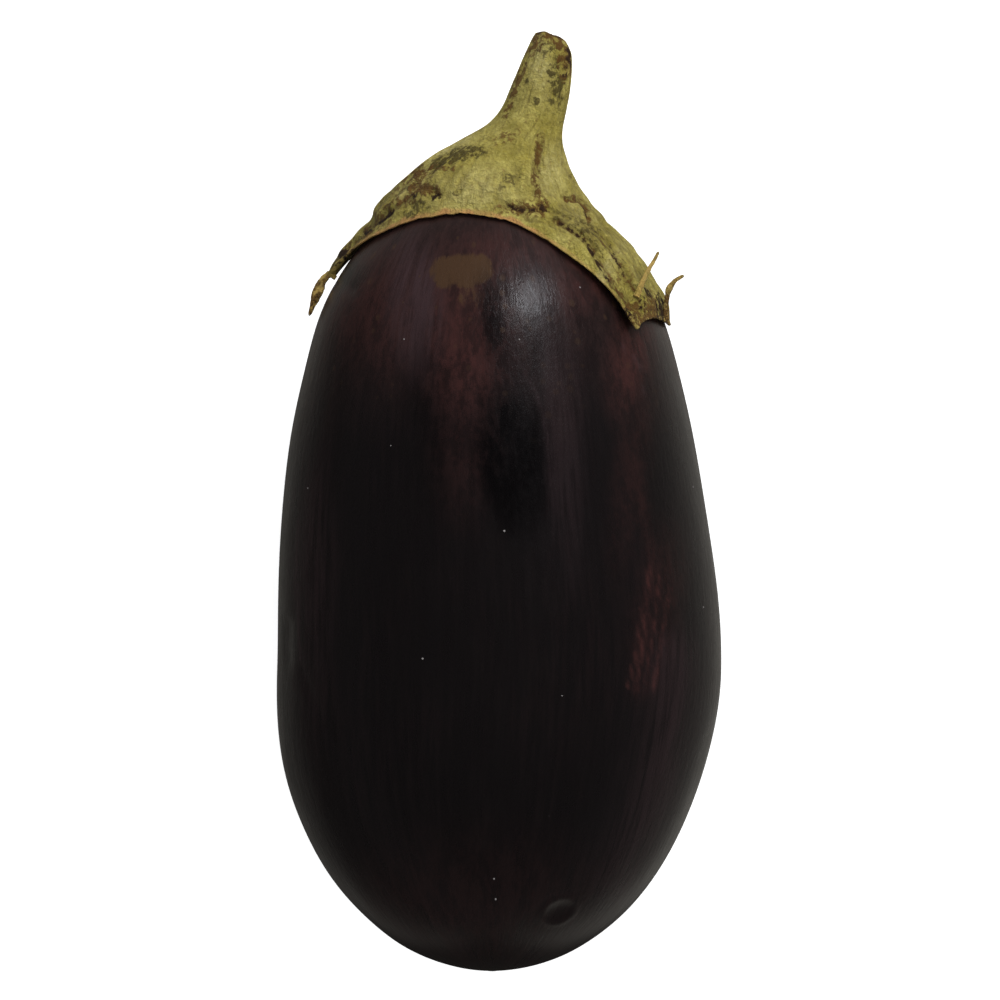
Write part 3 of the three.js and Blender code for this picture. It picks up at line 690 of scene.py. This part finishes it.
def scaled(tree, vector, factor):
    return addNode(tree, "ShaderNodeVectorMath", {0: vector, 3: factor}, operation="SCALE").outputs[0]


def drawnOut(tree, vector, fineness, length):
    # the vector * (fineness, fineness / length, fineness), so that a pattern is longer along its second way
    stretch = calculate(tree, "DIVIDE", fineness, length)
    scale = addNode(tree, "ShaderNodeCombineXYZ", {0: fineness, 1: stretch, 2: fineness}).outputs[0]
    return addNode(tree, "ShaderNodeVectorMath", {0: vector, 1: scale}, operation="MULTIPLY").outputs[0]


def addNoise(tree, place, scale, detail, roughness=0.5, output="Fac"):
    inputs = {"Vector": place, "Scale": scale, "Detail": detail, "Roughness": roughness}
    return addNode(tree, "ShaderNodeTexNoise", inputs).outputs[output]


def newEffect(name, build, inputs):
    # a node group that puts out the one value that it builds; an input without a number is a vector
    group = bpy.data.node_groups.new(name, "ShaderNodeTree")
    for label, value in inputs.items():
        kind = "NodeSocketVector" if value is None else "NodeSocketFloat"
        socket = group.interface.new_socket(label, in_out="INPUT", socket_type=kind)
        if value is not None:
            socket.default_value = value
    group.interface.new_socket("Value", in_out="OUTPUT", socket_type="NodeSocketFloat")
    addNode(group, "NodeGroupOutput", {"Value": build(group, addNode(group, "NodeGroupInput").outputs)})
    return group


def fibreGrain(tree, given):
    # fine lines that run the long way of the piece: noise squeezed across and drawn out along the way
    return addNoise(tree, drawnOut(tree, given["Way"], given["Fineness"], given["Length"]), 1.0, 4.0, 0.6)


def mottle(tree, given):
    # soft blots: noise of the given size, with the part over the threshold made a mask
    place = drawnOut(tree, given["Way"], calculate(tree, "DIVIDE", 1.0, given["Size"]), given["Stretch"])
    low = calculate(tree, "SUBTRACT", given["Threshold"], given["Softness"])
    high = calculate(tree, "ADD", given["Threshold"], given["Softness"])
    return rescale(tree, addNoise(tree, place, 1.0, 5.0, 0.62), low, high)


def specks(tree, given):
    # dust and pores: the middles of scattered cells, of which the share that is wanted is kept
    scale = calculate(tree, "DIVIDE", 1.0, given["Spacing"])
    cells = addNode(tree, "ShaderNodeTexVoronoi", {"Vector": given["Way"], "Scale": scale})
    pick = addNode(tree, "ShaderNodeSeparateColor", {0: cells.outputs["Color"]})
    kept = calculate(tree, "LESS_THAN", pick.outputs[0], given["Kept"])
    size = times(tree, given["Reach"], calculate(tree, "ADD", pick.outputs[1], 0.35))
    near = calculate(tree, "SUBTRACT", 1.0, calculate(tree, "DIVIDE", cells.outputs["Distance"], size), clamp=True)
    return times(tree, calculate(tree, "MULTIPLY", near, 2.5, clamp=True), kept)


def creases(tree, given):
    # dry creases down the leaf: where noise drawn out along the way crosses its middle, broken up by finer noise
    shift = scaled(tree, addNoise(tree, given["Place"], 0.45, 3.0, output="Color"), 1.6)
    moved = addNode(tree, "ShaderNodeVectorMath", {0: given["Way"], 1: shift}, operation="ADD").outputs[0]
    folds = addNoise(tree, drawnOut(tree, moved, given["Fineness"], given["Length"]), 1.0, 1.5)
    away = calculate(tree, "ABSOLUTE", calculate(tree, "SUBTRACT", folds, 0.5))
    gaps = rescale(tree, addNoise(tree, given["Place"], 0.5, 3.0, 0.6), 0.42, 0.56)
    return times(tree, rescale(tree, away, 0.0, given["Width"], 1.0, 0.0), gaps)


effects = {
    "fibres": newEffect("fibre grain", fibreGrain, {"Way": None, "Fineness": 1.0, "Length": 12.0}),
    "mottle": newEffect("mottle", mottle, {
        "Way": None, "Size": 5.0, "Stretch": 1.0, "Threshold": 0.5, "Softness": 0.15,
    }),
    "specks": newEffect("specks", specks, {"Way": None, "Spacing": 6.0, "Reach": 0.06, "Kept": 0.3}),
    "creases": newEffect("creases", creases, {
        "Way": None, "Place": None, "Fineness": 0.42, "Length": 8.0, "Width": 0.035,
    }),
}


def effect(tree, name, *values):
    return addNode(tree, "ShaderNodeGroup", dict(enumerate(values)), node_tree=effects[name]).outputs[0]


def newMaterial(name):
    material = bpy.data.materials.new(name)
    material.use_nodes = True
    return material, material.node_tree, material.node_tree.nodes["Principled BSDF"]


def layered(tree, colour, finish, layers):
    # each layer's colour is blended over the ones below by mask * share
    for top, mask, share in layers:
        colour = blendColours(tree, times(tree, mask, share), colour, finish[top])
    return colour


def complete(tree, shader, finish, colour, roughness, *heights):
    # the height of the bump is the sum of value * weight
    bump = {"Height": weightedSum(tree, *heights), "Strength": finish["bump"], "Distance": finish["bumpDepth"]}
    normal = addNode(tree, "ShaderNodeBump", bump).outputs[0]
    fill(tree, shader, {"Base Color": colour, "Roughness": roughness, "Normal": normal})


skinFinish = {
    "base": shade(17, 13, 14), "warm": shade(23, 16, 17), "shoulder": shade(44, 29, 28), "russet": shade(60, 32, 30),
    # the near-black colour paints the dark reflection and the shadow, and the haze colour also paints sheen
    "hazeAndPaintedSheen": shade(60, 44, 47), "bruise": shade(66, 47, 30), "paintedDarkColour": shade(4, 2, 3), "dust": shade(160, 155, 155),
    "scar": shade(20, 14, 14), "roughness": (0.27, 0.33), "bump": 0.16, "bumpDepth": 0.0004, "ior": 1.45,
}
# Patterns, in millimetres: for fibres the fineness and length, for mottle the size, stretch, threshold and
# softness, and for specks the spacing, reach and the share that is kept
skinPatterns = {
    "streaks": ("fibres", 0.8, 14), "fineStreaks": ("fibres", 2.6, 9), "crinkle": ("fibres", 0.9, 2.2),
    "mottle": ("mottle", 3.2, 2.6, 0.5, 0.14), "clouds": ("mottle", 14, 2.2, 0.5, 0.2),
    "fine": ("mottle", 1.1, 1.8, 0.52, 0.12), "redSpecks": ("specks", 2.6, 0.3, 0.3),
    "dust": ("specks", 5.2, 0.045, 0.4),
}


def makeSkin():
    # near black, warmed by clouds; each mark is laid over it through the mottling, among them painted dark
    # reflection, painted shadow and painted sheen, then grazes that are partly painted sheen, the scar and dust
    material, tree, shader = newMaterial("eggplant skin")
    way = read(tree, "grainWay", "Vector")
    finish = skinFinish
    seen = {name: effect(tree, kind, way, *values) for name, (kind, *values) in skinPatterns.items()}
    texture = weightedSum(tree, (seen["mottle"], 0.6), (seen["fine"], 0.4))
    warmth = times(tree, seen["clouds"], rescale(tree, seen["streaks"], 0.38, 0.66))
    colour = blendColours(tree, warmth, finish["base"], finish["warm"])
    bruise = read(tree, "bruise")
    edged = calculate(tree, "ADD", bruise, times(tree, calculate(tree, "SUBTRACT", texture, 0.6), 0.7))
    bruised = calculate(tree, "MULTIPLY", bruise, 3.0, clamp=True)
    shoulder = read(tree, "shoulder")
    colour = layered(tree, colour, finish, (
        ("shoulder", shoulder, rescale(tree, texture, 0.0, 1.0, 0.45, 1.0)),
        ("russet", read(tree, "russet"), rescale(tree, texture, 0.0, 0.9, 0.3, 1.0)),
        # bloom and painted sheen
        ("hazeAndPaintedSheen", read(tree, "hazeAndPaintedSheen"), rescale(tree, seen["streaks"], 0.3, 0.62, 0.2, 1.0)),
        ("bruise", bruised, rescale(tree, edged, 0.2, 0.9, 0.0, 0.85)),
        # painted dark reflection and painted shadow
        ("paintedDarkColour", read(tree, "paintedDarkReflectionAndShadow"), rescale(tree, texture, 0.2, 1.0, 0.95, 0.6)),
        # scuffs and painted sheen, in the haze colour
        ("hazeAndPaintedSheen", read(tree, "scuffsAndPaintedSheen"), rescale(tree, seen["fineStreaks"], 0.4, 0.6, 0.1, 0.5)),
        ("scar", read(tree, "scar"), rescale(tree, seen["fine"], 0.0, 1.0, 0.1, 0.7)),
        ("bruise", seen["redSpecks"], times(tree, shoulder, 0.35)),
        ("dust", seen["dust"], 0.8),
    ))
    satin = calculate(tree, "ADD", seen["streaks"], times(tree, seen["mottle"], 0.35))
    satin = rescale(tree, satin, 0.35, 0.95, *finish["roughness"])
    satin = calculate(tree, "ADD", satin, times(tree, seen["dust"], 0.3))
    complete(
        tree, shader, finish, colour, satin, (seen["streaks"], 0.9), (seen["fineStreaks"], 0.25),
        (seen["fine"], 0.3), (seen["dust"], 0.5), (seen["crinkle"], times(tree, shoulder, 0.3)),
    )
    shader.inputs["IOR"].default_value = finish["ior"]
    return material


leafFinish = {
    "olive": shade(152, 139, 54), "light": shade(190, 178, 98), "green": shade(122, 110, 38),
    # umber is painted shade for grooves, hollows and creases
    "paintedShadeUmber": shade(66, 46, 14), "moss": shade(74, 62, 16), "brown": shade(97, 66, 17), "tan": shade(184, 134, 80),
    "dark": shade(46, 26, 8), "straw": shade(214, 203, 142), "maroon": shade(104, 62, 28),
    "roughness": (0.62, 0.85), "bump": 0.9, "bumpDepth": 0.0007,
}
leafPatterns = {
    "fibres": ("fibres", 1.3, 9), "fineFibres": ("fibres", 3.6, 7), "mottle": ("mottle", 2.6, 1.3, 0.5, 0.12),
    "clouds": ("mottle", 8, 1.3, 0.5, 0.14), "stains": ("mottle", 1.7, 1.2, 0.66, 0.05),
    "fine": ("mottle", 0.55, 1.2, 0.5, 0.12), "grit": ("mottle", 1.2, 1.2, 0.5, 0.12),
    "blots": ("mottle", 1.3, 1, 0.6, 0.06),
}


def makeLeaf():
    # olive to light, with green mottling; then pale and brown places, painted shade in the grooves, hollows and
    # creases, the rim's margin, and the stains and scars, partly painted shade, whose edges the grit makes ragged.
    # Fibres follow the grain, and blots the place in millimetres
    material, tree, shader = newMaterial("dried calyx and stem")
    way = read(tree, "grainWay", "Vector")
    place = scaled(tree, addNode(tree, "ShaderNodeTexCoord").outputs["Object"], 1000.0)
    finish = leafFinish
    ways = {"fibres": way, "mottle": place}
    seen = {name: effect(tree, kind, ways[kind], *values) for name, (kind, *values) in leafPatterns.items()}
    grit, fine = seen["grit"], seen["fine"]
    # creases, both bumped and darkened with painted shade
    creased = times(tree, effect(tree, "creases", way, place), times(tree, read(tree, "dried"), 0.6))
    cloudy = weightedSum(tree, (seen["clouds"], 0.55), (fine, 0.3))
    colour = blendColours(tree, cloudy, finish["olive"], finish["light"])
    colour = layered(tree, colour, finish, (
        ("green", seen["mottle"], 0.45),
        ("straw", read(tree, "paling"), rescale(tree, grit, 0.0, 1.0, 0.3, 0.8)),
        ("brown", seen["blots"], 0.22),
        # painted shade in the grooves, hollows and creases
        ("paintedShadeUmber", read(tree, "grooveAndPaintedShade"), rescale(tree, grit, 0.0, 1.0, 0.35, 0.95)),
        ("paintedShadeUmber", read(tree, "paintedHollowShade"), rescale(tree, fine, 0.0, 1.0, 0.5, 0.9)),
        ("paintedShadeUmber", creased, 0.9),
        ("tan", read(tree, "margin"), rescale(tree, seen["mottle"], 0.0, 1.0, 0.9, 0.5)),
    ))
    # stains and scars; the scars also carry painted shade under the left lobe and in the grooves
    for mark, top, most in (("greening", "moss", 0.9), ("browning", "brown", 0.92), ("scarsAndPaintedShade", "dark", 0.95)):
        mask = read(tree, mark)
        ragged = calculate(tree, "ADD", mask, times(tree, calculate(tree, "SUBTRACT", grit, 0.55), 0.9))
        ragged = times(tree, ragged, calculate(tree, "MULTIPLY", mask, 4.0, clamp=True))
        colour = blendColours(tree, rescale(tree, ragged, 0.18, 0.88, 0.0, most), colour, finish[top])
    colour = blendColours(tree, times(tree, seen["stains"], 0.4), colour, finish["maroon"])
    cutColour = blendColours(tree, seen["mottle"], finish["brown"], finish["dark"])
    colour = blendColours(tree, times(tree, read(tree, "cut"), 0.85), colour, cutColour)
    roughness = rescale(tree, seen["fibres"], 0.3, 0.7, *finish["roughness"])
    complete(
        tree, shader, finish, colour, roughness, (seen["fibres"], 0.2), (seen["fineFibres"], 0.15), (grit, 0.6),
        (fine, 0.3), (creased, -0.9),
    )
    return material


def dress(piece, material):
    piece.data.materials.append(material)
    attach(piece, "root")


skinMaterial, leafMaterial = makeSkin(), makeLeaf()
print("materials made")

fruitPiece = buildFruit()
dress(fruitPiece, skinMaterial)
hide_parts("fruit")
print("fruit", len(fruitPiece.data.polygons), "faces")

calyxPiece = buildCalyx()
dress(calyxPiece, leafMaterial)
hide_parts("calyx_and_stem")
print("calyx", len(calyxPiece.data.polygons), "faces")

for count, (tipName, tipShape) in enumerate(witheredTips.items()):
    dress(buildTip(tipName, tipShape, 70 + count), leafMaterial)
print("withered tips made")

studio = {
    "lens": 250.0, "sensor": 36.0, "pixel": 0.21445, "aimRight": 1.61, "aimHeight": 36.46,  # pixel and aim in mm
    "lightsAim": (4.0, 60.0, 20.0), "lightsAway": 0.75,
    "keyFrom": (0.42, 0.79, 0.45), "keySize": (0.5, 0.5), "keyPower": 5.0,
    "shineFrom": (0.352, 0.75, 0.558), "shineSize": (0.06, 0.26), "shinePower": 1.15, "shineColour": (0.93, 0.95, 1),
    "skyLight": 0.7, "roomLow": 0.07, "roomHigh": 0.018, "roomLeft": 0.8, "roomRight": 1.1,
    "floorHalf": 3.0, "floorDrop": 0.0002, "floorSeen": 0.95, "floorGlow": 0.6, "floorLit": (0.35, 0.34, 0.34, 1),
    "floorTint": (1, 0.96, 0.86),
    "floorShine": (  # how bright the floor is in the skin's sheen: metres to the right, and grey
        (-0.18, 0.03), (-0.1, 0.1), (-0.06, 0.24), (-0.035, 0.03),
        (0.035, 0.03), (0.06, 0.4), (0.1, 0.2), (0.25, 0.06),
    ),
}


def ownMatrix(place, towards, upright):
    # at a place on the fruit's own axis, looking against the first direction, with the second one upwards
    origin, one, two = (Vector(toFrame(np.array(v, float))) for v in ((0, 0, 0), towards, upright))
    back = (one - origin).normalized()
    across = (two - origin).cross(back).normalized()
    matrix = Matrix((across, back.cross(across), back)).transposed().to_4x4()
    matrix.translation = Vector(toFrame(np.array(place, float)))
    return matrix


def addCamera():
    data = bpy.data.cameras.new("camera")
    data.lens, data.sensor_width = studio["lens"], studio["sensor"]
    camera = newObject("camera", data)
    away = studio["pixel"] * 1000 * studio["lens"] / studio["sensor"]  # so that the fruit's axis is at the right scale
    camera.matrix_world = ownMatrix((studio["aimRight"], studio["aimHeight"], away), (0, 0, 1), (0, 1, 0))
    data.clip_start, data.clip_end = 0.05, 30.0
    bpy.context.scene.camera = camera


def addLight(name, colour, seenBy):
    # an area light at its own direction from the aim, in the fruit's axes, seen by matt or by glossy rays alone
    data = bpy.data.lights.new(name, "AREA")
    data.shape, data.color, data.energy = "RECTANGLE", colour, studio[name + "Power"]
    data.size, data.size_y = studio[name + "Size"]
    light = newObject(name, data)
    way = np.array(studio[name + "From"]) / np.linalg.norm(studio[name + "From"])
    place = np.array(studio["lightsAim"]) + way * studio["lightsAway"] * 1000
    light.matrix_world = ownMatrix(place, way, (0, 0, 1))
    light.visible_camera = False
    light.visible_diffuse = seenBy == "diffuse"
    light.visible_glossy = seenBy == "glossy"


def addFloor():
    # pale and a little bright to the camera, duller to matt rays, and to glossy ones grey by how far right it is
    mesh = bpy.data.meshes.new("floor")
    half, low = studio["floorHalf"], -studio["floorDrop"]
    corners = [(x * half, y * half, low) for x, y in ((-1, -1), (1, -1), (1, 1), (-1, 1))]
    mesh.from_pydata(corners, [], [(0, 1, 2, 3)])
    floor = newObject("floor", mesh)
    material, tree, shader = newMaterial("pale floor")
    path = addNode(tree, "ShaderNodeLightPath").outputs
    seen, mirrored = path["Is Camera Ray"], path["Is Glossy Ray"]
    pale = blendColours(tree, seen, studio["floorLit"], (studio["floorSeen"],) * 3 + (1,))
    shine = addNode(tree, "ShaderNodeValToRGB", {0: calculate(tree, "ADD", coordinates(tree, "Object")["X"], 0.5)})
    stops = shine.color_ramp.elements
    for count, (place, grey) in enumerate(studio["floorShine"]):
        stop = stops[count] if count < 2 else stops.new(place + 0.5)
        stop.position, stop.color = place + 0.5, tuple(grey * c for c in studio["floorTint"]) + (1,)
    fill(tree, shader, {
        "Base Color": blendColours(tree, mirrored, pale, shine.outputs[0]), "Roughness": 1.0,
        "Specular IOR Level": 0.0, "Emission Color": (1, 1, 1, 1),
        "Emission Strength": times(tree, seen, studio["floorGlow"]),
    })
    mesh.materials.append(material)


def addWorld():
    # white to the camera, soft light to matt surfaces, and a dim room with a brighter right side to glossy ones
    world = bpy.data.worlds.new("studio")
    bpy.context.scene.world = world
    world.use_nodes = True
    tree = world.node_tree
    path = addNode(tree, "ShaderNodeLightPath").outputs
    way = coordinates(tree, "Generated")
    level = rescale(tree, way["Z"], 0.0, 0.6, studio["roomLow"], studio["roomHigh"])
    room = times(tree, level, rescale(tree, way["X"], -0.2, 1.0, studio["roomLeft"], studio["roomRight"]))
    light = blendColours(tree, path["Is Glossy Ray"], (studio["skyLight"],) * 3 + (1,), room)
    white = blendColours(tree, path["Is Camera Ray"], light, (1, 1, 1, 1))
    tree.links.new(white, tree.nodes["Background"].inputs["Color"])


addCamera()
addFloor()
addWorld()
addLight("key", (1, 1, 1), "diffuse")
addLight("shine", studio["shineColour"], "glossy")
bpy.context.scene.view_settings.view_transform = "Standard"
print("studio set")
